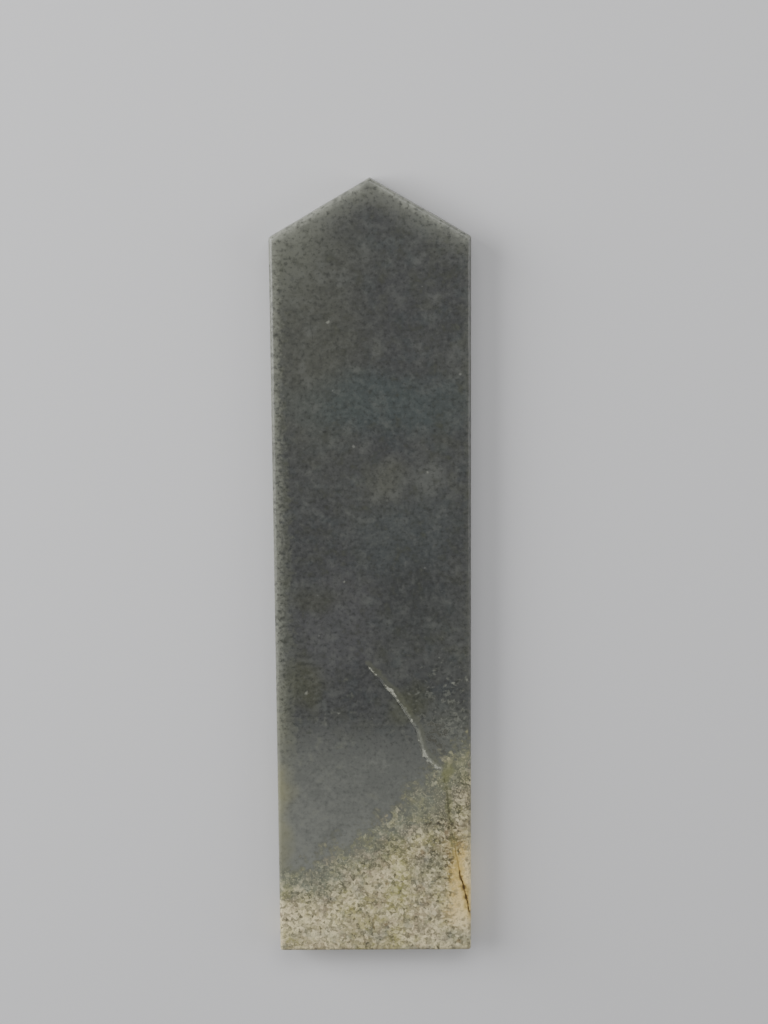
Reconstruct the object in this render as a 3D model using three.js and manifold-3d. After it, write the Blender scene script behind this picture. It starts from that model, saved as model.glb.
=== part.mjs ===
// Jade gui: a flat pointed tablet, ground and polished from one slab of speckled nephrite.
// Units are millimetres. The tablet lies on its back with its polished front up, +Z up and
// its point towards +Y. The origin is under the middle of its length and width.

import * as THREE from 'three';
import { mergeVertices } from 'three/addons/utils/BufferGeometryUtils.js';
import Module from 'manifold-3d';

const { degToRad } = THREE.MathUtils;

// Slab
const LENGTH = 200; // from the butt to the point
const WIDTH = 50; // between the two parallel long sides
const THICKNESS = 9;
const POINT_SLOPE = degToRad(30); // how steeply each edge of the head falls from the point to a shoulder

// Arris: the rounded edge that grinding leaves all round, on the front and on the back
const ARRIS = 1;
const ARRIS_STEPS = 3;

// Upright corners, seen from above
const POINT_RADIUS = 0.5;
const SHOULDER_RADIUS = 0.8;
const BUTT_RADIUS = 0.9;
const CORNER_STEPS = 2;

// Cracks in the front: a shallow pale one in the middle, and a deeper brown one that
// runs out through the right side. Each route is a list of places, in millimetres from
// the right side and from the butt.
const PALE_CRACK = {
  route: [[25.8, 76.1], [21.8, 71.4], [18.0, 66.6], [14.9, 61.8], [13.0, 56.2], [10.9, 51.9], [7.8, 49.5]],
  depth: 0.25,
  flare: 0.2, // how far each wall leans out from the bottom to the face
  floor: 0.25, // greatest width of its bottom
  closes: true,
};
const BROWN_CRACK = {
  route: [[5.0, 33.0], [3.6, 25.0], [2.8, 20.2], [1.6, 15.8], [0.7, 12.0], [-1.0, 9.6]],
  depth: 1.5,
  flare: 0.15,
  floor: 0.3,
  closes: false,
};
const CRACK_END = 0.06; // width of the bottom where a crack closes up
const CRACK_STEPS = 14;
const CUTTER_RISE = 1; // how far a crack's cutter stands above the face

// Nephrite: grey-green, with a soft waxy polish
const nephrite = new THREE.MeshStandardMaterial({ color: '#64665f', roughness: 0.32, metalness: 0 });

const wasm = await Module();
wasm.setup();

// Corners of the plan, counter-clockwise from the butt's right corner. The point starts as
// much too long as its rounding takes off again.
function planCorners() {
  const side = WIDTH / 2;
  const butt = -LENGTH / 2;
  const sharpPoint = LENGTH / 2 + POINT_RADIUS * (1 / Math.cos(POINT_SLOPE) - 1);
  const shoulder = sharpPoint - side * Math.tan(POINT_SLOPE);
  return [
    { at: new THREE.Vector2(side, butt), radius: BUTT_RADIUS },
    { at: new THREE.Vector2(side, shoulder), radius: SHOULDER_RADIUS },
    { at: new THREE.Vector2(0, sharpPoint), radius: POINT_RADIUS },
    { at: new THREE.Vector2(-side, shoulder), radius: SHOULDER_RADIUS },
    { at: new THREE.Vector2(-side, butt), radius: BUTT_RADIUS },
  ];
}

// The plan with its corners moved in by the arris, so that the arris grows back out to full size
function facePlan(corners) {
  const moved = corners.map(({ at }, i) => {
    const { bisector, halfAngle } = cornerAngles(corners, i);
    return at.clone().addScaledVector(bisector, ARRIS / Math.sin(halfAngle));
  });
  return new THREE.Shape(moved);
}

// The plan with each corner as an arc that meets both of its edges smoothly
function roundedPlan(corners) {
  const shape = new THREE.Shape();
  corners.forEach(({ at, radius }, i) => {
    const { before, after, bisector, halfAngle } = cornerAngles(corners, i);
    const centre = at.clone().addScaledVector(bisector, radius / Math.sin(halfAngle));
    const start = Math.atan2(before.x, -before.y);
    const end = Math.atan2(-after.x, after.y);
    shape.absarc(centre.x, centre.y, radius, start, end, false);
  });
  return shape;
}

// Directions from a corner to its neighbours, and the line that halves the angle between them
function cornerAngles(corners, i) {
  const { at } = corners[i];
  const before = corners.at(i - 1).at.clone().sub(at).normalize();
  const after = corners[(i + 1) % corners.length].at.clone().sub(at).normalize();
  const bisector = before.clone().add(after).normalize();
  return { before, after, bisector, halfAngle: before.angleTo(after) / 2 };
}

function toSolid(geometry) {
  geometry.deleteAttribute('normal');
  geometry.deleteAttribute('uv');
  const merged = mergeVertices(geometry);
  const mesh = new wasm.Mesh({
    numProp: 3,
    vertProperties: new Float32Array(merged.attributes.position.array),
    triVerts: new Uint32Array(merged.index.array),
  });
  return new wasm.Manifold(mesh);
}

function toGeometry(solid) {
  const { vertProperties, triVerts } = solid.getMesh();
  const geometry = new THREE.BufferGeometry();
  geometry.setAttribute('position', new THREE.BufferAttribute(vertProperties, 3));
  geometry.setIndex(new THREE.BufferAttribute(triVerts, 1));
  geometry.computeVertexNormals();
  return geometry;
}

// The slab: full plan and thickness, with a rounded arris on both faces
function slabSolid() {
  const corners = planCorners();
  const ground = new THREE.ExtrudeGeometry(facePlan(corners), {
    depth: THICKNESS - 2 * ARRIS,
    bevelThickness: ARRIS,
    bevelSize: ARRIS,
    bevelSegments: ARRIS_STEPS,
  });
  ground.translate(0, 0, ARRIS);
  const upright = new THREE.ExtrudeGeometry(roundedPlan(corners), {
    depth: THICKNESS,
    bevelEnabled: false,
    curveSegments: CORNER_STEPS,
  });
  return toSolid(ground).intersect(toSolid(upright));
}

// A crack's cutter: a thin wedge that follows the route, its narrow bottom as deep in the
// stone as the crack, and its walls leaning out to the face
function crackCutter({ route, depth, flare, floor, closes }) {
  const places = route.map(([fromRight, fromButt]) => (
    new THREE.Vector2(WIDTH / 2 - fromRight, fromButt - LENGTH / 2)));
  const curve = new THREE.SplineCurve(places);
  const rightBank = [];
  const leftBank = [];
  for (let i = 0; i <= CRACK_STEPS; i += 1) {
    const t = i / CRACK_STEPS;
    const swell = closes ? Math.sin(Math.PI * t) : t;
    const reach = (CRACK_END + (floor - CRACK_END) * swell) / 2;
    const tangent = curve.getTangent(t);
    const across = new THREE.Vector2(-tangent.y, tangent.x).multiplyScalar(reach);
    const place = curve.getPoint(t);
    leftBank.unshift(place.clone().add(across));
    rightBank.push(place.clone().sub(across));
  }
  const wedge = new THREE.ExtrudeGeometry(new THREE.Shape([...rightBank, ...leftBank]), {
    depth: CUTTER_RISE,
    bevelThickness: depth,
    bevelSize: flare,
    bevelSegments: 1,
  });
  wedge.translate(0, 0, THICKNESS);
  return toSolid(wedge);
}

let stone = slabSolid();
for (const crack of [PALE_CRACK, BROWN_CRACK]) {
  stone = stone.subtract(crackCutter(crack));
}

const tablet = new THREE.Mesh(toGeometry(stone), nephrite);
tablet.name = 'jade_tablet';

const gui = new THREE.Group();
gui.add(tablet);

export default gui;
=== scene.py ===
# %% [markdown]
# # A jade gui tablet, lying on its back
# A gui is a flat pointed tablet of jade. This one was sawn from a slab of speckled
# nephrite, ground true on a flat stone and polished with fine grit, and everything
# that the eye enjoys in it is stone: grey-green nephrite with dark flecks, and a
# beige and ochre crust across the butt. The shape is simple, so the lesson is in
# the edges, the two natural cracks, and above all in the stone.

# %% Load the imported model
import math

import bmesh
import bpy
from mathutils import Matrix, Vector, noise
from mathutils.geometry import intersect_point_line


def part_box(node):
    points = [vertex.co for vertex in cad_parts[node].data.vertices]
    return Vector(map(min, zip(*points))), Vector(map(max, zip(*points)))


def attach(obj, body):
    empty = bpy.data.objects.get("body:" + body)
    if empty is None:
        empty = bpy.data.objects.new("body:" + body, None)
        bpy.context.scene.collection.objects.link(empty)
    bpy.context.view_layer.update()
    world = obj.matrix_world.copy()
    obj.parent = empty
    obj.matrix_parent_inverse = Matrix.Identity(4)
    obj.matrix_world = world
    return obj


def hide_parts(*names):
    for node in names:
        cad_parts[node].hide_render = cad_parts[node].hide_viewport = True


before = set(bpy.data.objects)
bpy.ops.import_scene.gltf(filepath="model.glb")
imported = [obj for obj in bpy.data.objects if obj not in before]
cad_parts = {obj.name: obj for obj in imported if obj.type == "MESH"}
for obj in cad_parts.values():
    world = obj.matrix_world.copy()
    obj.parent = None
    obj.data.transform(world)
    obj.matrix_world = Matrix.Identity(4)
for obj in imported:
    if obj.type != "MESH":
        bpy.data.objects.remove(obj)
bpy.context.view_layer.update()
low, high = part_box("jade_tablet")
print("slab from", tuple(round(v, 4) for v in low), "to", tuple(round(v, 4) for v in high))

# %% [markdown]
# ## Sizes
# Blender works in metres and a lapidary in millimetres, so every size is written in
# millimetres and turned once. The length, width and thickness come from the packed
# solid. What the solid can't say is set here: the fall of the head, how far the
# edges are ground back, and how much the corners are worn.

# %% Sizes of the tablet
MM = 0.001
HEAD_SLOPE = math.radians(30)
ARRIS = 1.0 * MM
ARRIS_ROWS = 5
CORNER_WEAR = {"butt": 0.55 * MM, "shoulder": 0.4 * MM, "point": 0.3 * MM}
CORNER_ROWS = 4

half_width = high.x
thickness = high.z - low.z
wear_at_point = CORNER_WEAR["point"] * (1 / math.cos(HEAD_SLOPE) - 1)
point_y = high.y + wear_at_point
shoulder_y = point_y - half_width * math.tan(HEAD_SLOPE)
print("shoulders at y =", round(shoulder_y / MM, 2), "mm")


def from_edges(from_right, from_butt, below_face=0.0):
    """A place on the front, measured in mm from the right side, the butt and the face."""
    return Vector((high.x - from_right * MM, low.y + from_butt * MM, high.z - below_face * MM))


# %% [markdown]
# ## The slab
# The lapidary saws a slab, grinds five straight sides and then breaks the sharp
# edges with a few strokes. The mesh follows the same steps: a five-sided face is
# pulled up to the full thickness, and a bevel takes off all the edges of the front
# and the back. A rounded box with a bevel modifier would be quicker, but the next
# steps need a real mesh to cut and dent.

# %% Saw the slab and grind its arrises
slab = bmesh.new()
outline = [
    (half_width, low.y), (half_width, shoulder_y), (0, point_y),
    (-half_width, shoulder_y), (-half_width, low.y),
]
back = slab.faces.new([slab.verts.new((x, y, low.z)) for x, y in outline])
lifted = bmesh.ops.extrude_face_region(slab, geom=[back])["geom"]
bmesh.ops.translate(slab, verts=[v for v in lifted if isinstance(v, bmesh.types.BMVert)],
                    vec=(0, 0, thickness))
bmesh.ops.recalc_face_normals(slab, faces=slab.faces[:])
rims = [e for e in slab.edges if abs(e.verts[0].co.z - e.verts[1].co.z) < thickness / 2]
bmesh.ops.bevel(slab, geom=rims, offset=ARRIS, offset_type="OFFSET", affect="EDGES",
                segments=ARRIS_ROWS, profile=0.5, material=-1)
print("slab with arrises:", len(slab.faces), "faces")

# %% [markdown]
# Handling has worn the five upright corners a little. Each corner is a chain of
# edges, from the front's corner down over the arris to the back's corner. All of
# its edges lie in the plane that halves the corner, which is how they are found,
# and one small bevel rounds the whole chain.

# %% Wear the upright corners
ON_PLANE = 0.001 * MM  # how far an edge may lie from the plane that halves its corner

for i, (x, y) in enumerate(outline):
    corner = Vector((x, y))
    to_last = (Vector(outline[i - 1]) - corner).normalized()
    to_next = (Vector(outline[(i + 1) % len(outline)]) - corner).normalized()
    halving = (to_last + to_next).normalized()
    across = Vector((-halving.y, halving.x))
    kind = "point" if x == 0 else "shoulder" if y > 0 else "butt"

    def in_corner(vert):
        away = vert.co.xy - corner
        return abs(away.dot(across)) < ON_PLANE and away.length < 2 * ARRIS

    chain = [e for e in slab.edges if in_corner(e.verts[0]) and in_corner(e.verts[1])]
    bmesh.ops.bevel(slab, geom=chain, offset=CORNER_WEAR[kind], offset_type="OFFSET",
                    affect="EDGES", segments=CORNER_ROWS, profile=0.5, material=-1)
    print(kind, "corner:", len(chain), "edges rounded")

# %% [markdown]
# ## The two cracks and the crust's edge
# Both cracks are followed as a chain of short straight stretches. The pale one is
# a healed crack with a crushed, whitish lip. The brown one is open and stained by
# iron, and runs out through the right side. The border of the weathered crust is
# such a chain too: it climbs across the butt and dies away up the right side. One
# helper tells how far a place is from a route, on which side of it, and how far
# along it.

# %% Routes across the front
PALE_ROUTE = [from_edges(*p) for p in (
    (26.4, 76.9), (24.8, 74.9), (23.1, 73.2), (21.9, 71.5), (20.4, 70.3), (19.0, 68.0),
    (17.9, 66.5), (16.7, 64.6), (15.0, 61.9), (13.7, 59.5), (13.1, 56.9), (12.6, 55.1),
    (11.6, 52.7), (10.4, 51.3), (9.2, 50.1), (7.9, 49.6),
)]
BROWN_ROUTE = [from_edges(*p) for p in (
    (7.0, 49.4), (6.9, 46.2), (6.3, 43.4), (6.0, 40.0), (5.7, 37.2), (5.3, 35.0), (5.0, 33.0),
    (4.5, 30.8), (4.2, 29.0), (3.9, 26.5), (3.4, 24.3), (3.1, 22.3),
    (2.8, 20.2), (2.3, 19.0), (1.8, 16.9), (1.3, 14.6), (0.8, 13.0), (0.6, 10.9),
    (0.1, 10.2, 0.9), (0.0, 9.5, 2.5), (0.0, 9.3, 4.0), (0.0, 8.2, 6.2),
)]
CRUST_EDGE = [from_edges(*p) for p in (
    (60.0, 20.0), (49.5, 21.0), (43.5, 21.8), (39.3, 23.4), (34.8, 26.9), (30.4, 28.5),
    (24.4, 33.4), (18.2, 37.4), (16.3, 40.9), (14.0, 43.6), (11.4, 45.2), (8.0, 49.5),
    (4.5, 52.5), (0.0, 56.0), (-10.0, 62.0),
)]
for route in (PALE_ROUTE, BROWN_ROUTE, CRUST_EDGE):
    length = sum((b - a).length for a, b in zip(route, route[1:]))
    print("route of", len(route), "places,", round(length / MM, 1), "mm long")


def along(route, place):
    """Distance from the route in mm, + or - by side, and the share of the route passed."""
    best = None
    for i in range(len(route) - 1):
        a, b = route[i], route[i + 1]
        foot, share = intersect_point_line(place, a, b)
        share = min(max(share, 0.0), 1.0)
        foot = a.lerp(b, share)
        away = (place - foot).length
        if best is None or away < best[0]:
            side = (b - a).cross(place - a).z
            best = (away, 1 if side > 0 else -1, (i + share) / (len(route) - 1))
    away, side, share = best
    return side * away / MM, share


def near_route(route, place, reach):
    """Whether a place lies in the box round the route, widened by reach."""
    return all(min(p[k] for p in route) - reach < place[k] < max(p[k] for p in route) + reach
               for k in range(3))


# %% [markdown]
# The crust went into the stone from the butt, so its border leans as it goes down:
# on the back it lies nearer the butt than on the front.

# %% Depth in the crust
CRUST_LEAN = 0.8  # mm towards the butt for each mm of depth


def into_crust(place):
    """How far beyond the crust's edge a place lies, in mm, + inside the crust."""
    on_face = Vector((place.x, place.y + CRUST_LEAN * (high.z - place.z), high.z))
    return -along(CRUST_EDGE, on_face)[0]


print("middle of the butt lies", round(into_crust(from_edges(25, 0)), 1), "mm inside the crust")

# %% [markdown]
# ## A mesh fine enough to dent
# A flat face needs few faces, and a crack half a millimetre wide needs faces of a
# tenth of that. So the slab is first cut into a coarse grid by planes, and then
# only the edges near a crack or an arris are halved, again and again, until they
# are as short as the place asks for. Triangles are used because they can be halved
# next to one another without leaving odd faces.

# %% Cut the slab into a grid
GRID = 2.5 * MM
SLIVER = 0.02 * MM  # vertices nearer to one another than this are made one


def cut_across(bm, axis, start, stop):
    """Cuts the mesh with planes square to an axis, about GRID apart."""
    count = round((stop - start) / GRID)
    for i in range(1, count):
        place, normal = Vector(), Vector()
        place[axis] = start + (stop - start) * i / count
        normal[axis] = 1
        bmesh.ops.bisect_plane(bm, geom=bm.verts[:] + bm.edges[:] + bm.faces[:],
                               plane_co=place, plane_no=normal)


def into_triangles(bm):
    """Splits every face into triangles, and takes out slivers that a split leaves."""
    for _ in range(2):
        bmesh.ops.triangulate(bm, faces=[f for f in bm.faces if len(f.verts) > 3])
        bmesh.ops.dissolve_degenerate(bm, edges=bm.edges[:], dist=SLIVER)


for axis in range(3):
    cut_across(slab, axis, low[axis], high[axis])
bmesh.ops.remove_doubles(slab, verts=slab.verts[:], dist=SLIVER)
into_triangles(slab)
print("grid:", len(slab.faces), "triangles")

# %% Make it finer where the stone is cracked or ground
CRACK_REACH = 2.5 * MM
FACE_EDGE = GRID * 1.5  # longest edge on the open face
ARRIS_EDGE = 1.1 * MM  # longest edge on an arris
CRACK_EDGES = ((0.5, 0.16), (1.1, 0.35), (2.5, 0.9))  # mm from a crack, and longest edge in mm
SLACK = 1.3  # an edge is halved when it is longer than wanted by this factor
ROUNDS = 6


def wanted_edge(place):
    """How long an edge may be at a place, in metres."""
    wanted = FACE_EDGE
    inside = min(half_width - abs(place.x), place.y - low.y,
                 (point_y - place.y) * math.cos(HEAD_SLOPE) - abs(place.x) * math.sin(HEAD_SLOPE))
    if inside < ARRIS * 1.2:
        wanted = ARRIS_EDGE
    for route in (PALE_ROUTE, BROWN_ROUTE):
        if near_route(route, place, CRACK_REACH):
            away = abs(along(route, place)[0])
            wanted = min([wanted] + [edge * MM for reach, edge in CRACK_EDGES if away < reach])
    return wanted


for _ in range(ROUNDS):
    long_edges = [e for e in slab.edges
                  if e.calc_length() > SLACK * wanted_edge((e.verts[0].co + e.verts[1].co) / 2)]
    if not long_edges:
        break
    bmesh.ops.subdivide_edges(slab, edges=long_edges, cuts=1, use_grid_fill=True)
    into_triangles(slab)
print("refined:", len(slab.faces), "triangles")

# %% [markdown]
# ## Denting the stone
# Nothing is added to a ground stone, only taken away, so every vertex moves inwards
# along its normal: a few hundredths of a millimetre for the slow waves that
# hand-grinding leaves, a little more where an arris was struck unevenly, and the
# cracks' full depth along their routes. The same pass keeps the distance to each
# crack on the vertices, for the stone's colour to follow.

# %% Depth of each kind of wear
WAVE_DEPTH = 0.035 * MM
WAVE_LENGTH = 22 * MM
STROKE_DEPTH = 0.16 * MM
STROKE_LENGTH = 7 * MM
PALE_GROOVE, PALE_LIP = 0.22, 0.07  # depths in mm
BROWN_HAIR, BROWN_GAPE = 0.04, 0.8  # depths in mm where the crack starts and where it ends


def wave(place, length, seed=0.0):
    """Smooth noise from 0 to 1, with waves about that long."""
    return 0.5 + 0.5 * noise.noise(place / length + Vector((seed, seed, seed)))


def pale_depth(offset, share, place):
    """The healed crack: a narrow groove with a wider crushed lip on its right."""
    ends = min(1.0, 7 * share, 9 * (1 - share))
    ragged = wave(place, 1.1 * MM, 3)
    groove = max(0.0, 1 - abs(offset + 0.08) / (0.10 + 0.16 * ragged))
    lip = max(0.0, 1 - abs(offset - 0.28) / (0.12 + 0.34 * wave(place, 0.8 * MM, 9)))
    return ends * (PALE_GROOVE * groove + PALE_LIP * lip * ragged) * MM


def brown_depth(offset, share, place):
    """The open crack: hair-fine where it starts and widest where it leaves the side."""
    opening = 0.07 + 0.2 * share ** 2
    ends = min(1.0, 6 * share, 5 * (1 - share))
    ragged = 0.7 + 0.6 * wave(place, 0.9 * MM, 5)
    groove = max(0.0, 1 - abs(offset) / (opening * ragged))
    return ends * (BROWN_HAIR + BROWN_GAPE * share ** 1.5) * groove ** 0.7 * MM


print("brown crack half way along:", round(brown_depth(0, 0.5, Vector()) / MM, 2), "mm deep")

# %% Move the vertices and keep the distances
CRACKS = {  # route, depth, and the shares of the route in which its colour comes and goes
    "pale": (PALE_ROUTE, pale_depth, 0.4, 0.06),
    "brown": (BROWN_ROUTE, brown_depth, 0.05, 0.01),
}
CLOSING = 0.5  # mm added to the distance where a crack closes, so that its colour fades out
layers = {name: slab.verts.layers.float.new(name) for name in (
    "crust", "pale_away", "pale_side", "pale_share", "brown_away", "brown_share")}
slab.normal_update()
moved = []
for vert in slab.verts:
    place = vert.co
    depth = WAVE_DEPTH * wave(place, WAVE_LENGTH)
    on_arris = 1 - max(abs(n) for n in vert.normal) ** 8
    depth += on_arris * STROKE_DEPTH * wave(place, STROKE_LENGTH, 7) ** 2
    vert[layers["crust"]] = into_crust(place)
    for name, (route, crack_depth, coming, going) in CRACKS.items():
        vert[layers[name + "_away"]] = CRACK_REACH / MM
        if near_route(route, place, CRACK_REACH):
            offset, share = along(route, place)
            closing = CLOSING * (1 - min(1.0, share / coming, (1 - share) / going))
            vert[layers[name + "_away"]] = min(abs(offset) + closing, CRACK_REACH / MM)
            vert[layers[name + "_share"]] = share
            if name == "pale":  # only its two banks differ in colour
                vert[layers["pale_side"]] = offset
            depth += crack_depth(offset, share, place)
    moved.append((vert, vert.normal * depth))
for vert, step in moved:
    vert.co -= step
print("vertices moved inwards by up to", round(max(s.length for _, s in moved) / MM, 2), "mm")

# %% [markdown]
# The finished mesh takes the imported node's place. Smooth shading is right for a
# polished stone, since the grid's rows of vertices beside each arris keep the flat
# faces flat.

# %% Put the tablet in the scene
slab.normal_update()
mesh = bpy.data.meshes.new("polished_tablet")
slab.to_mesh(mesh)
slab.free()
mesh.shade_smooth()
tablet = bpy.data.objects.new("polished_tablet", mesh)
bpy.context.scene.collection.objects.link(tablet)
print("tablet:", len(mesh.vertices), "vertices", len(mesh.polygons), "triangles")

# %% [markdown]
# ## Floor, camera and light
# The floor is a plain pale studio sheet. The camera looks straight down on the face
# except for ten degrees towards the butt, which makes the two parallel sides draw
# together a little, as they do in the photograph.

# %% Floor
FLOOR_REACH = 6  # metres from its middle to each side

floor_bm = bmesh.new()
bmesh.ops.create_grid(floor_bm, x_segments=1, y_segments=1, size=FLOOR_REACH)
floor_mesh = bpy.data.meshes.new("studio_floor")
floor_bm.to_mesh(floor_mesh)
floor_bm.free()
floor = bpy.data.objects.new("studio_floor", floor_mesh)
bpy.context.scene.collection.objects.link(floor)
print("floor:", 2 * FLOOR_REACH, "m square")

# %% Camera
TILT = math.radians(10.31)
TURN = math.radians(-0.373)
ROLL = math.radians(-0.355)
CAMERA_PLACE = Vector((6.41, 109.93, 520.6)) * MM
LENS = 72.6

camera_data = bpy.data.cameras.new("camera")
camera_data.lens = LENS
camera_data.sensor_width = 36
camera_data.clip_start = 0.01
camera = bpy.data.objects.new("camera", camera_data)
turned = (Matrix.Rotation(-TILT, 4, "X") @ Matrix.Rotation(-TURN, 4, "Y")
          @ Matrix.Rotation(ROLL, 4, "Z"))
camera.matrix_world = Matrix.Translation(CAMERA_PLACE) @ turned
bpy.context.scene.collection.objects.link(camera)
bpy.context.scene.camera = camera
print("camera", round(CAMERA_PLACE.length / MM), "mm from the tablet, lens", LENS, "mm")

# %% [markdown]
# The light is three softboxes and a dim room. The strongest one stands low on the
# left: it grazes the face, so the cracks and the ground edges show, and the left
# arris shines. The one beyond the head stands higher and draws a line of light along
# the gable, and the dim one on the right keeps that side out of the dark.

# %% Light
SOFTBOXES = (  # name, place and size in metres, watts
    ("left_softbox", (-0.75, 0.25, 0.35), (0.6, 0.9), 9.5),
    ("head_softbox", (0.1, 0.75, 0.85), (0.9, 0.4), 3.6),
    ("right_softbox", (0.8, 0.1, 0.4), (0.5, 0.8), 2.4),
)
ROOM_LIGHT = 0.24


def softbox(name, place, size, watts):
    """A soft rectangular light at a place in metres, facing the tablet."""
    data = bpy.data.lights.new(name, "AREA")
    data.shape = "RECTANGLE"
    data.size, data.size_y = size
    data.energy = watts
    light = bpy.data.objects.new(name, data)
    aim = (-Vector(place)).to_track_quat("-Z", "Y")
    light.matrix_world = Matrix.Translation(Vector(place)) @ aim.to_matrix().to_4x4()
    bpy.context.scene.collection.objects.link(light)


for box in SOFTBOXES:
    softbox(*box)

world = bpy.data.worlds.new("studio")
bpy.context.scene.world = world
world.use_nodes = True
world.node_tree.nodes["Background"].inputs["Color"].default_value = (1, 1, 1, 1)
world.node_tree.nodes["Background"].inputs["Strength"].default_value = ROOM_LIGHT
print("light:", sum(box[-1] for box in SOFTBOXES), "watts and a room at", ROOM_LIGHT)

# %% [markdown]
# ## The stone
# Nephrite is a tough felt of mineral fibres, and its colour is laid down in clouds,
# specks and rusty veins, at scales from a hand's breadth to a grain. It could be
# painted as a picture, but then the sides and the back would need pictures too. A
# solid pattern in the stone's own space runs through all its faces, as in a real
# slab, so every layer below reads Object coordinates turned to millimetres, or one
# of the distances kept on the vertices.

# %% Helpers for materials
COLOUR_A, COLOUR_B, COLOUR_OUT = 6, 7, 2  # a Mix node's colour sockets, by number


def linear(hex_colour):
    """An sRGB hex colour as the linear values that a shader wants."""
    parts = [int(hex_colour[i:i + 2], 16) / 255 for i in (1, 3, 5)]
    return [p / 12.92 if p <= 0.04045 else ((p + 0.055) / 1.055) ** 2.4 for p in parts] + [1.0]


def add(tree, kind, values=None, links=None, **settings):
    """Adds a node with its settings, plain input values and links, and returns its outputs."""
    node = tree.nodes.new("ShaderNode" + kind)
    for name, value in settings.items():
        setattr(node, name, value)
    for socket, value in (values or {}).items():
        node.inputs[socket].default_value = value
    for socket, source in (links or {}).items():
        tree.links.new(source, node.inputs[socket])
    return node.outputs


def new_material(name):
    """An empty material and its node tree."""
    material = bpy.data.materials.new(name)
    material.use_nodes = True
    material.node_tree.nodes.clear()
    return material, material.node_tree


# %% [markdown]
# Every noise is named after what it draws, and is as wide in millimetres as the real
# thing. The first two bend the space itself: the slow sway, so that no patch is a true
# oval, and the fine ruffle, so that no fleck is a true disc. The same ruffle bends the
# crust's grains too, but by less: a shiver is enough to keep their sides from being
# straight.

# %% Noises, by their width in mm
nephrite, tree = new_material("polished_nephrite")
metres = add(tree, "TexCoord")["Object"]
place = add(tree, "Mapping", {"Scale": (1 / MM,) * 3}, {"Vector": metres})[0]

NOISES = {  # width in mm, detail, roughness
    "sway": (11, 2, 0.5),
    "ruffle": (1.3, 2, 0.5),
    "clouds": (17, 3, 0.55),
    "mottle": (4.6, 3, 0.6),
    "felt": (1.9, 3, 0.6),
    "pepper": (1.0, 3, 0.62),
    "grain": (0.45, 2, 0.6),
}
noises = {}
for name, (width, detail, roughness) in NOISES.items():
    shape = {"Scale": 1 / width, "Detail": detail, "Roughness": roughness}
    noises[name] = add(tree, "TexNoise", shape, {"Vector": place})

BENDS = (  # name, the noise that bends, and the mm from its one extreme to the other
    ("sway", "sway", 9.0),
    ("ruffle", "ruffle", 1.1),
    ("shiver", "ruffle", 0.5),
)
bent = {}
for name, source, reach in BENDS:
    centred = add(tree, "VectorMath", {1: (0.5, 0.5, 0.5)}, {0: noises[source]["Color"]},
                  operation="SUBTRACT")[0]
    bent[name] = add(tree, "VectorMath", {1: (reach,) * 3}, {0: centred, 2: place},
                     operation="MULTIPLY_ADD")[0]
print(len(noises), "noises and", len(bent), "bent spaces")

# %% [markdown]
# Three tools draw everything in the stone: a soft patch with a centre and two half
# widths, flecks scattered in cells, and a way to lay tints one over the other, each
# where some value passes from one level to another.

# %% Patches, flecks and layers
PATCH_DEPTH = 14  # mm below the front at which a patch has faded out


def patch(x, y, half_x, half_y, turn=0):
    """How far out in an oval patch on the front a place is: 0 in its middle, 1 at its rim."""
    shape = {"Location": (x, y, high.z / MM), "Rotation": (0, 0, math.radians(turn)),
             "Scale": (half_x, half_y, PATCH_DEPTH)}
    local = add(tree, "Mapping", shape, {"Vector": bent["sway"]}, vector_type="TEXTURE")[0]
    return add(tree, "VectorMath", links={0: local}, operation="LENGTH")["Value"]


def flecks(spacing, share, radius):
    """How deep inside a fleck a place is, in mm; a share of the cells has one, up to a radius."""
    cells = add(tree, "TexVoronoi", {"Scale": 1 / spacing}, {"Vector": bent["ruffle"]})
    chance = add(tree, "SeparateColor", links={"Color": cells["Color"]})["Red"]
    size = add(tree, "MapRange", {"From Min": 1 - share, "To Max": radius}, {"Value": chance})[0]
    return add(tree, "Math", {1: -spacing}, {0: cells["Distance"], 2: size},
               operation="MULTIPLY_ADD")[0]


def lay(colour, layers):
    """Lays tints over a colour: each from nothing at one level of its value to full at another."""
    for value, start, full, strength, tint in layers:
        mask = add(tree, "MapRange", {"From Min": start, "From Max": full, "To Max": strength},
                   {"Value": value}, interpolation_type="SMOOTHSTEP")[0]
        plain, linked = {COLOUR_B: linear(tint)}, {0: mask}
        if isinstance(colour, str):
            plain[COLOUR_A] = linear(colour)
        else:
            linked[COLOUR_A] = colour
        colour = add(tree, "Mix", plain, linked, data_type="RGBA")[COLOUR_OUT]
    return colour


# %% [markdown]
# ### The grey-green ground
# The ground is a dark grey that clears to olive towards the left of the head and to a
# cool blue-green in the middle. The lighter olive at the left of the head and at the
# point is partly a painted sheen. Below the pale crack it turns milky, a shade lighter.

# %% The ground's broad colours
clouds, mottle, felt, pepper, grain = (
    noises[name]["Fac"] for name in ("clouds", "mottle", "felt", "pepper", "grain"))
hues = add(tree, "SeparateColor", links={"Color": noises["mottle"]["Color"]})

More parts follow.
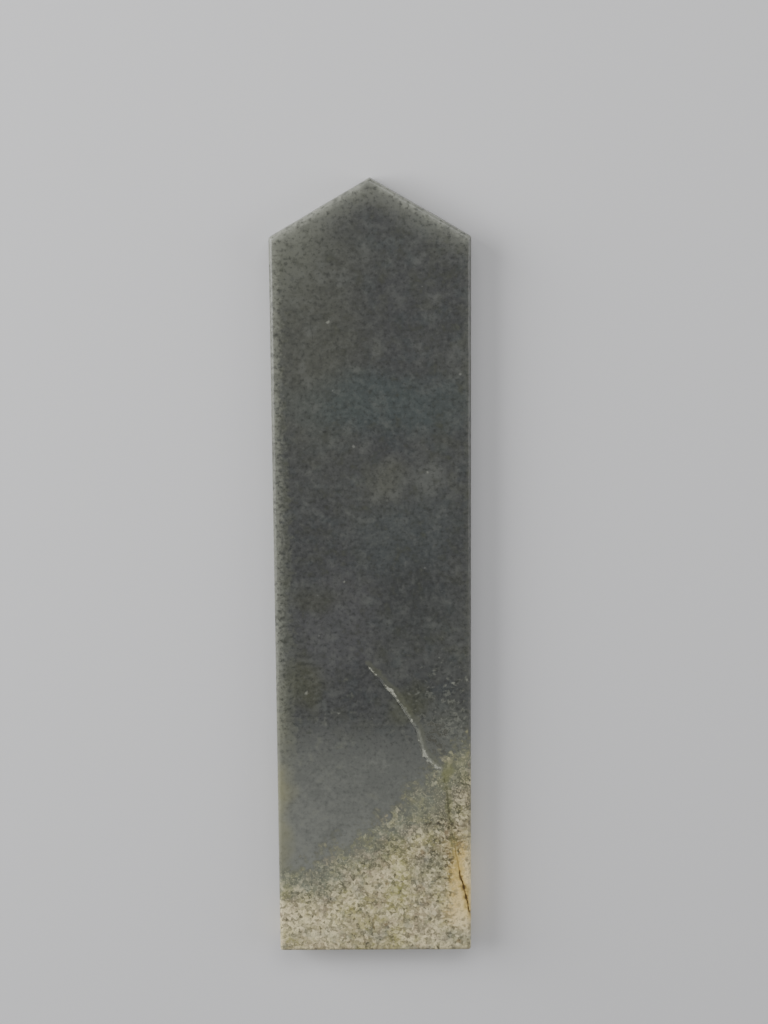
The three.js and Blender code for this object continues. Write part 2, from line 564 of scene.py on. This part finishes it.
ground = lay("#434444", [
    (clouds, 0.42, 0.66, 0.5, "#525450"),
    (hues["Green"], 0.5, 0.66, 0.25, "#4a4c3c"),
    (hues["Blue"], 0.5, 0.66, 0.25, "#3f484a"),
    # The next three patches, lighter towards the left of the head and at the point, are olive stone
    # with a painted sheen in them.
    (patch(-14, 62, 20, 46), 1, 0.2, 0.75, "#51524a"),
    (patch(-22, 86, 17, 24), 1, 0.1, 0.85, "#6a6c61"),
    (patch(2, 99, 24, 9), 1, 0.1, 0.7, "#64655c"),
    (patch(4, 44, 30, 12), 1, 0.3, 0.7, "#464f4e"),
    (patch(8, 10, 20, 13, 20), 1, 0.3, 0.6, "#464b4b"),
    (patch(-9, -12, 15, 22), 1, 0.3, 0.6, "#535354"),
    (patch(4, 25, 8, 7), 1, 0.2, 0.75, "#5a5b52"),
    (patch(14, 24, 7, 5, 60), 1, 0.2, 0.7, "#61635e"),
    (patch(11, -6, 13, 15), 1, 0.3, 0.6, "#3a3c3c"),
    (patch(-15, -6, 9, 6), 1, 0.3, 0.6, "#46473c"),
    (patch(-18, -27, 7, 12), 1, 0.3, 0.6, "#50513f"),
    (patch(9, -34, 5, 9, -30), 1, 0.3, 0.8, "#4a4c3d"),
    (patch(19, -42, 9, 13), 1, 0.4, 0.6, "#5c5e55"),
])
print("ground:", len(tree.nodes), "nodes so far")

# %% [markdown]
# Closer up the felt shows: cloudy tufts a couple of millimetres wide, a grain of
# about a millimetre, dark flecks of half a millimetre to one, and a few pale grains.

# %% The ground's felt and flecks
GROUND_FLECKS = [
    (mottle, 0.5, 0.7, 0.35, "#686a65"),
    (mottle, 0.5, 0.3, 0.4, "#323432"),
    (felt, 0.5, 0.72, 0.2, "#6a6c66"),
    (felt, 0.5, 0.3, 0.38, "#2c2e2b"),
    (pepper, 0.5, 0.3, 0.2, "#70726c"),
    (pepper, 0.51, 0.68, 0.5, "#282a27"),
    (flecks(4.5, 0.3, 0.5), 0, 0.3, 0.35, "#9a9b95"),
]

# %% [markdown]
# ### The paler sides, a painted glow
# Along its edges the stone is painted paler and more olive for a few millimetres: a
# painted glow, standing for light that comes in through the edge. The strip is
# wider on the left, wider and yellower towards the butt, and palest along the gable,
# where it is also a painted highlight. The painted glow belongs to the edges where
# two faces meet, and fades on the side faces.
# The big flecks lie deep, so they are laid first, and the felt and the small flecks
# run on over the pale strips. The milky part is laid below them and once more above,
# because it veils what is in it. The yellow beside the crust lies over all that.

# %% Painted glow along the edges
def stirred(value, **reaches):
    """A value made uneven by noises, each by up to half its reach either way."""
    for name, reach in reaches.items():
        value = add(tree, "Math", {1: reach}, {0: noises[name]["Fac"], 2: value},
                    operation="MULTIPLY_ADD")[0]
    return add(tree, "Math", {1: sum(reaches.values()) / 2}, {0: value}, operation="SUBTRACT")[0]


spot = add(tree, "SeparateXYZ", links={"Vector": place})
below = add(tree, "Math", {0: high.z / MM}, {1: spot["Z"]}, operation="SUBTRACT")[0]
from_face = add(tree, "Math", links={0: spot["Z"], 1: below}, operation="MINIMUM")[0]
inward = add(tree, "Math", {1: 0.7}, {0: from_face}, operation="MULTIPLY")[0]
from_left = add(tree, "Math", {1: half_width / MM}, {0: spot["X"]}, operation="ADD")[0]
from_right = add(tree, "Math", {0: half_width / MM}, {1: spot["X"]}, operation="SUBTRACT")[0]
from_middle = add(tree, "Math", links={0: spot["X"]}, operation="ABSOLUTE")[0]
across = add(tree, "Math", {1: math.tan(HEAD_SLOPE)}, {0: from_middle}, operation="MULTIPLY")[0]
fallen = add(tree, "Math", links={0: spot["Y"], 1: across}, operation="ADD")[0]
from_gable = add(tree, "Math", {0: point_y / MM}, {1: fallen}, operation="SUBTRACT")[0]
# The left strip of painted glow is wider towards the butt.
painted_glow_width = add(tree, "MapRange", {"From Min": -10, "From Max": 40, "To Min": 4.4, "To Max": 2.8},
                 {"Value": spot["Y"]})[0]
past_painted_glow = add(tree, "Math", links={0: from_left, 1: painted_glow_width}, operation="SUBTRACT")[0]
left_painted_glow = stirred(past_painted_glow, mottle=8, felt=6, pepper=5)
# Distances for the painted glow: from each edge, plus a little more away from the front and the
# back.
left_glow, right_glow, gable_glow = (
    add(tree, "Math", links={0: value, 1: inward}, operation="ADD")[0]
    for value in (from_left, from_right, from_gable))
left_painted_fringe = stirred(left_glow, felt=4, pepper=6)
right_painted_glow = stirred(right_glow, mottle=5, felt=5, pepper=3)
gable_painted_glow = stirred(gable_glow, mottle=5, felt=4, pepper=3)

milky = stirred(spot["Y"], clouds=8, mottle=8, felt=5)
milky_grain = stirred(spot["Y"], clouds=30, mottle=75, felt=60, pepper=40)

ground = lay(ground, [
    (flecks(2.3, 0.55, 0.7), 0, 0.4, 0.5, "#262825"),
    (milky, -33, -50, 0.68, "#6a6c67"),
    (milky, -48, -76, 0.5, "#696b65"),
    # Painted glow along the left edge, the gable and the right edge; the palest line along the
    # gable is a painted highlight.
    (left_painted_glow, 1.2, -0.9, 0.45, "#6a6c5f"),
    (left_painted_fringe, 3.0, 0.2, 0.65, "#8f9185"),
    (gable_painted_glow, 9.5, 0.5, 0.6, "#808277"),
    (gable_painted_glow, 3, 0.3, 0.6, "#a5a79b"),
    (right_painted_glow, 2.2, 0.4, 0.35, "#6c6e65"),
    (patch(-25, -57, 6, 38), 1, 0.4, 0.5, "#7b7c66"),
    (patch(-25, -56, 3, 9), 1, 0.2, 0.5, "#83814c"),
    (stirred(patch(19, -40, 9, 15), mottle=4, felt=5, pepper=4), 0.5, -0.4, 0.5, "#8a8c80"),
    (stirred(patch(16.5, -43.5, 6, 6), mottle=3, felt=5, pepper=5), 0.3, -0.1, 0.7, "#2c2618"),
] + GROUND_FLECKS + [
    (milky, -36, -52, 0.5, "#646661"),
    (milky_grain, -38, -92, 0.55, "#8b8d85"),
    (patch(-25, -59, 5, 14), 1, 0.3, 0.45, "#8f8d6e"),
    (patch(-25, -73, 5, 12), 1, 0.3, 0.4, "#787658"),
])
print("ground with its sides:", len(tree.nodes), "nodes so far")

# %% [markdown]
# A few single pale grains stand out by themselves, each half a millimetre to one and
# a half across. They are too few for a scatter, so each one is put in its own place.

# %% Single pale grains
PALE_GRAINS = (  # x, y and radius in mm
    (-10.5, 64.8, 0.5), (-17.1, -30.0, 0.8), (24.0, -26.9, 0.7), (20.6, -27.7, 0.5),
    (-7.2, -1.1, 0.4), (13.9, 27.0, 0.5), (-8.9, -35.7, 0.35), (16.8, -21.0, 0.3),
)
for x, y, radius in PALE_GRAINS:
    away = add(tree, "VectorMath", {1: (x, y, high.z / MM)}, {0: bent["shiver"]},
               operation="DISTANCE")["Value"]
    ground = lay(ground, [(stirred(away, pepper=1.2, grain=1.0), radius, 0, 0.5, "#9c9d92")])
print(len(PALE_GRAINS), "single pale grains")

# %% [markdown]
# ### The crust
# Towards the butt the stone weathered to a beige crust. It is a mosaic: grain after
# grain bleached, so it starts as dark speckled stone and gets paler with depth, but
# every grain has its own tone. Coarse grains of two millimetres mix with fine ones of
# less than one. Some places bleached more than others.

# %% How far each grain of the crust is bleached
GRAIN_WIDTHS = {"coarse": 2.0, "fine": 0.8}  # mm
BLEACHED = (  # oval patch, and how much more its middle is bleached, or less
    ((18, -60, 12, 12), -8), ((-16, -92, 20, 12), 5), ((8, -70, 14, 9), -5),
    ((22, -84, 5, 17), 5), ((24, -80, 4, 9), 7), ((14.5, -77, 6, 6), -4),
)
crust_depth = add(tree, "Attribute", attribute_name="crust")["Fac"]
tones = {}
for name, width in GRAIN_WIDTHS.items():
    cells = add(tree, "TexVoronoi", {"Scale": 1 / width}, {"Vector": bent["shiver"]})
    tones[name] = add(tree, "SeparateColor", links={"Color": cells["Color"]})
    noises[name] = {"Fac": tones[name]["Red"]}

soaked = add(tree, "MapRange", {"From Min": -3, "From Max": 10, "To Min": 3, "To Max": 16.5},
             {"Value": crust_depth})[0]
bleach = stirred(soaked, clouds=34, mottle=20, coarse=9, felt=5, fine=14, pepper=6, grain=20)
for oval, change in BLEACHED:
    more = add(tree, "MapRange", {"From Min": 1, "From Max": 0.2, "To Max": change},
               {"Value": patch(*oval)}, interpolation_type="SMOOTHSTEP")[0]
    bleach = add(tree, "Math", links={0: bleach, 1: more}, operation="ADD")[0]
print("bleaching of the crust:", len(BLEACHED), "patches,", len(GRAIN_WIDTHS), "sizes of grain")

# %% [markdown]
# The crust has yellow-green, pinkish and bluish bits, turns ochre round the rusty
# crack, and is dense with dark flecks. The palest ochre is laid last, because few
# flecks show in it.

# %% The crust's colours
crust = lay("#b3a97e", [
    (crust_depth, 12, 2, 0.85, "#8a907d"),
    (hues["Green"], 0.5, 0.62, 0.6, "#aca65c"),
    (hues["Green"], 0.5, 0.36, 0.5, "#b59c86"),
    (hues["Blue"], 0.5, 0.64, 0.45, "#8a938c"),
    (tones["coarse"]["Green"], 0.7, 1.0, 0.3, "#aba05c"),
    (tones["coarse"]["Blue"], 0.75, 1.0, 0.3, "#9a866e"),
    (patch(-16, -82, 17, 6), 1, 0.2, 0.5, "#868b7a"),
    (patch(6, -79, 5, 12), 1, 0.2, 0.65, "#9e9c50"),
    (patch(14.5, -77, 6, 6), 1, 0.2, 0.4, "#7c8580"),
    (patch(20.5, -97, 8, 5), 1, 0.2, 0.4, "#838e86"),
    (patch(21, -57, 8, 14), 1, 0.2, 0.6, "#7a7c6e"),
    (patch(21.5, -79, 5, 15), 1, 0.2, 0.75, "#ccab40"),
    (patch(23.5, -88, 4, 10), 1, 0.2, 0.75, "#f4d283"),
    (bleach, 20, -4, 0.65, "#4d4e38"),
    (bleach, -2, -14, 0.6, "#2e3028"),
    (bleach, 8, 30, 0.75, "#f8ebbd"),
    (patch(21.5, -80, 4.5, 15), 1, 0.2, 0.6, "#d6ae44"),
    (stirred(patch(24.2, -80, 3, 13), felt=1, fine=1, pepper=1), 1, 0.4, 0.6, "#fbe9b0"),
    (stirred(patch(20, -73, 5, 10), fine=2.2, pepper=3), 0.0, -0.35, 0.6, "#4c3e24"),
    (tones["fine"]["Green"], 0.78, 0.9, 0.55, "#4a4a38"),
    (tones["fine"]["Blue"], 0.74, 0.9, 0.55, "#3c3c2c"),
    (pepper, 0.53, 0.66, 0.35, "#3c3c2c"),
    (grain, 0.54, 0.66, 0.54, "#38382a"),
    (grain, 0.46, 0.32, 0.45, "#f8ebc4"),
    (flecks(3.1, 0.45, 0.9), 0, 0.4, 0.5, "#6a5128"),
    (crust_depth, 9, 1, 0.4, "#7d8170"),
    (patch(14, -62, 9, 9), 1, 0.3, 0.35, "#74776a"),
    (patch(22.8, -83, 4, 15), 1, 0.3, 0.3, "#f4dca4"),
])
print("crust:", len(tree.nodes), "nodes so far")

# %% [markdown]
# The border itself is ragged, a grain or two wide, and just outside it the ground is
# stained a darker olive.

# %% Put the crust over the ground
border = stirred(crust_depth, mottle=12, felt=5, coarse=1.5, fine=3, pepper=5)
crusted = add(tree, "MapRange", {"From Min": -3.6, "From Max": 3.6}, {"Value": border},
              interpolation_type="SMOOTHSTEP")[0]
stained = lay(ground, [(border, -4, -0.5, 0.35, "#4b4d3f")])
stone = add(tree, "Mix", links={0: crusted, COLOUR_A: stained, COLOUR_B: crust},
            data_type="RGBA")[COLOUR_OUT]
print("ground and crust:", len(tree.nodes), "nodes so far")

# %% [markdown]
# ### The cracks
# The pale crack healed with crushed white grains on its right bank, more of them the
# further down it runs, and the white line there is also a painted highlight where that
# bank faces the light. A painted shadow darkens its left bank. The brown crack is a
# dark healed seam in its upper part. Lower down it is open: iron coloured its inside
# dark brown and the stone beside it rust and pale ochre. Both are uneven, as the
# noises stir the distances that the vertices keep. A few tenths of a millimetre, added
# to such a distance or taken from it, make a line narrower or wider along its way.

# %% Colour of the cracks
crack = {name: add(tree, "Attribute", attribute_name=name)["Fac"] for name in (
    "pale_away", "pale_side", "pale_share", "brown_away", "brown_share")}


def beside(shift):
    """Distance in mm from a line that keeps shift mm to the upper right of the pale crack."""
    side = add(tree, "Math", {1: shift}, {0: crack["pale_side"]}, operation="SUBTRACT")[0]
    side = add(tree, "Math", links={0: side}, operation="ABSOLUTE")[0]
    near = add(tree, "Math", {1: abs(shift) + 0.3}, {0: crack["pale_away"]},
               operation="SUBTRACT")[0]
    return add(tree, "Math", links={0: side, 1: near}, operation="MAXIMUM")[0]


crushed = add(tree, "MapRange", {"From Min": 0.1, "From Max": 0.8, "To Min": 0.25, "To Max": -0.25},
              {"Value": crack["pale_share"]})[0]
white_and_highlight = add(tree, "Math", links={0: beside(0.1), 1: crushed}, operation="ADD")[0]
no_rust = add(tree, "MapRange", {"From Min": 0.3, "From Max": 0.55, "To Min": 2.4, "To Max": 0},
              {"Value": crack["brown_share"]})[0]
rust = add(tree, "Math", links={0: crack["brown_away"], 1: no_rust}, operation="ADD")[0]
healed = add(tree, "MapRange", {"From Min": 0.12, "From Max": 0.3, "To Max": 0.3},
             {"Value": crack["brown_share"]})[0]
seam = add(tree, "Math", links={0: crack["brown_away"], 1: healed}, operation="ADD")[0]

stone = lay(stone, [
    (patch(18.5, -51.5, 2.6, 4.5), 1, 0.2, 0.5, "#7d7e4b"),
    (stirred(beside(0.9), mottle=2, felt=2), 1.2, 0.2, 0.35, "#6a6c5a"),
    # Painted shadow along the pale crack's left bank.
    (stirred(beside(-0.3), felt=1.0), 0.32, 0.08, 0.6, "#2b2d28"),
    # Crushed white grains on the right bank, also a painted highlight where that bank faces the
    # light.
    (stirred(white_and_highlight, felt=1.3, pepper=1.3), 0.6, 0.0, 0.5, "#8a8c80"),
    (stirred(white_and_highlight, mottle=3.5, felt=2.2, pepper=1.8, grain=1.2), 0.15, -0.35, 0.65, "#bcbdae"),
    (stirred(crack["brown_away"], mottle=2, felt=4), 1.2, 0.2, 0.4, "#75764a"),
    (stirred(rust, felt=1.5, pepper=1.5), 2.3, 1.0, 0.42, "#f6d88c"),
    (stirred(seam, mottle=1, felt=1.6, pepper=1.6), 0.42, 0.05, 0.65, "#44442c"),
    (stirred(rust, mottle=4, felt=4, pepper=3), 1.8, 0.0, 0.5, "#c6a84e"),
    (stirred(patch(18.3, -65.3, 3.5, 2.5), mottle=2, felt=5, pepper=6), 0.3, -0.2, 0.65, "#3a3322"),
    (stirred(rust, felt=4.5, pepper=2.5), 0.45, 0.05, 0.5, "#6a5226"),
    (stirred(rust, felt=1.0, pepper=0.8), 0.32, 0.1, 0.75, "#5a411b"),
])
print("stone with its cracks:", len(tree.nodes), "nodes so far")

# %% [markdown]
# ### Polish
# Fine grit leaves nephrite with a soft, waxy gloss. The crust is more porous and
# takes less of it. Light enters real nephrite a little way and softens its edges,
# which the painted glow of the pale strips along them already stands for.

# %% Polish
GROUND_ROUGHNESS, CRUST_ROUGHNESS = 0.33, 0.5
UNEVEN_POLISH = (("felt", 0.12), ("pepper", 0.16))  # noise, and how far it spreads the roughness

gloss = add(tree, "MapRange", {"To Min": GROUND_ROUGHNESS, "To Max": CRUST_ROUGHNESS},
            {"Value": crusted})[0]
for name, change in UNEVEN_POLISH:
    gloss = add(tree, "Math", {1: change}, {0: noises[name]["Fac"], 2: gloss},
                operation="MULTIPLY_ADD")[0]
    gloss = add(tree, "Math", {1: change / 2}, {0: gloss}, operation="SUBTRACT")[0]
print("roughness:", GROUND_ROUGHNESS, "on the ground,", CRUST_ROUGHNESS, "on the crust")

# %% [markdown]
# Under a low light the polish is not quite flat. The felt's hard and soft fibres
# wore unequally, which ripples the shine, and the crust's dark grains sit lower
# than its pale ones. Relief this fine is drawn with bump, in real depths: a few
# thousandths of a millimetre in the ground and a few hundredths in the crust.

# %% Relief of the grain
CRUST_PITS = 0.045  # mm between the crust's darkest and palest grains
GROUND_RELIEF = (("felt", 0.006), ("pepper", -0.005), ("grain", -0.0025))  # noise, height in mm
NEPHRITE_IOR = 1.61

pits = add(tree, "MapRange", {"From Min": 22, "From Max": -4}, {"Value": bleach})[0]
pits = add(tree, "Math", links={0: pits, 1: crusted}, operation="MULTIPLY")[0]
height = add(tree, "Math", {1: -CRUST_PITS}, {0: pits}, operation="MULTIPLY")[0]
for name, rise in GROUND_RELIEF:
    height = add(tree, "Math", {1: rise}, {0: noises[name]["Fac"], 2: height},
                 operation="MULTIPLY_ADD")[0]
relief = add(tree, "Bump", {"Distance": MM}, {"Height": height})[0]

shader = add(tree, "BsdfPrincipled", {"IOR": NEPHRITE_IOR},
             {"Base Color": stone, "Roughness": gloss, "Normal": relief})
add(tree, "OutputMaterial", links={"Surface": shader[0]})
mesh.materials.append(nephrite)
print("stone:", len(tree.nodes), "nodes")

# %% [markdown]
# ### The floor
# Plain matt studio paper, rough enough to show no gloss.

# %% Paper
paper, tree = new_material("pale_paper")
shader = add(tree, "BsdfPrincipled", {"Base Color": linear("#e4e4e6"), "Roughness": 0.8})
add(tree, "OutputMaterial", links={"Surface": shader[0]})
floor_mesh.materials.append(paper)
print("paper:", len(tree.nodes), "nodes")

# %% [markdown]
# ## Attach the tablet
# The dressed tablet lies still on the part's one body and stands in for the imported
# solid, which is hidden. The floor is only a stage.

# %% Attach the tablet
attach(tablet, "root")
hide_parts("jade_tablet")
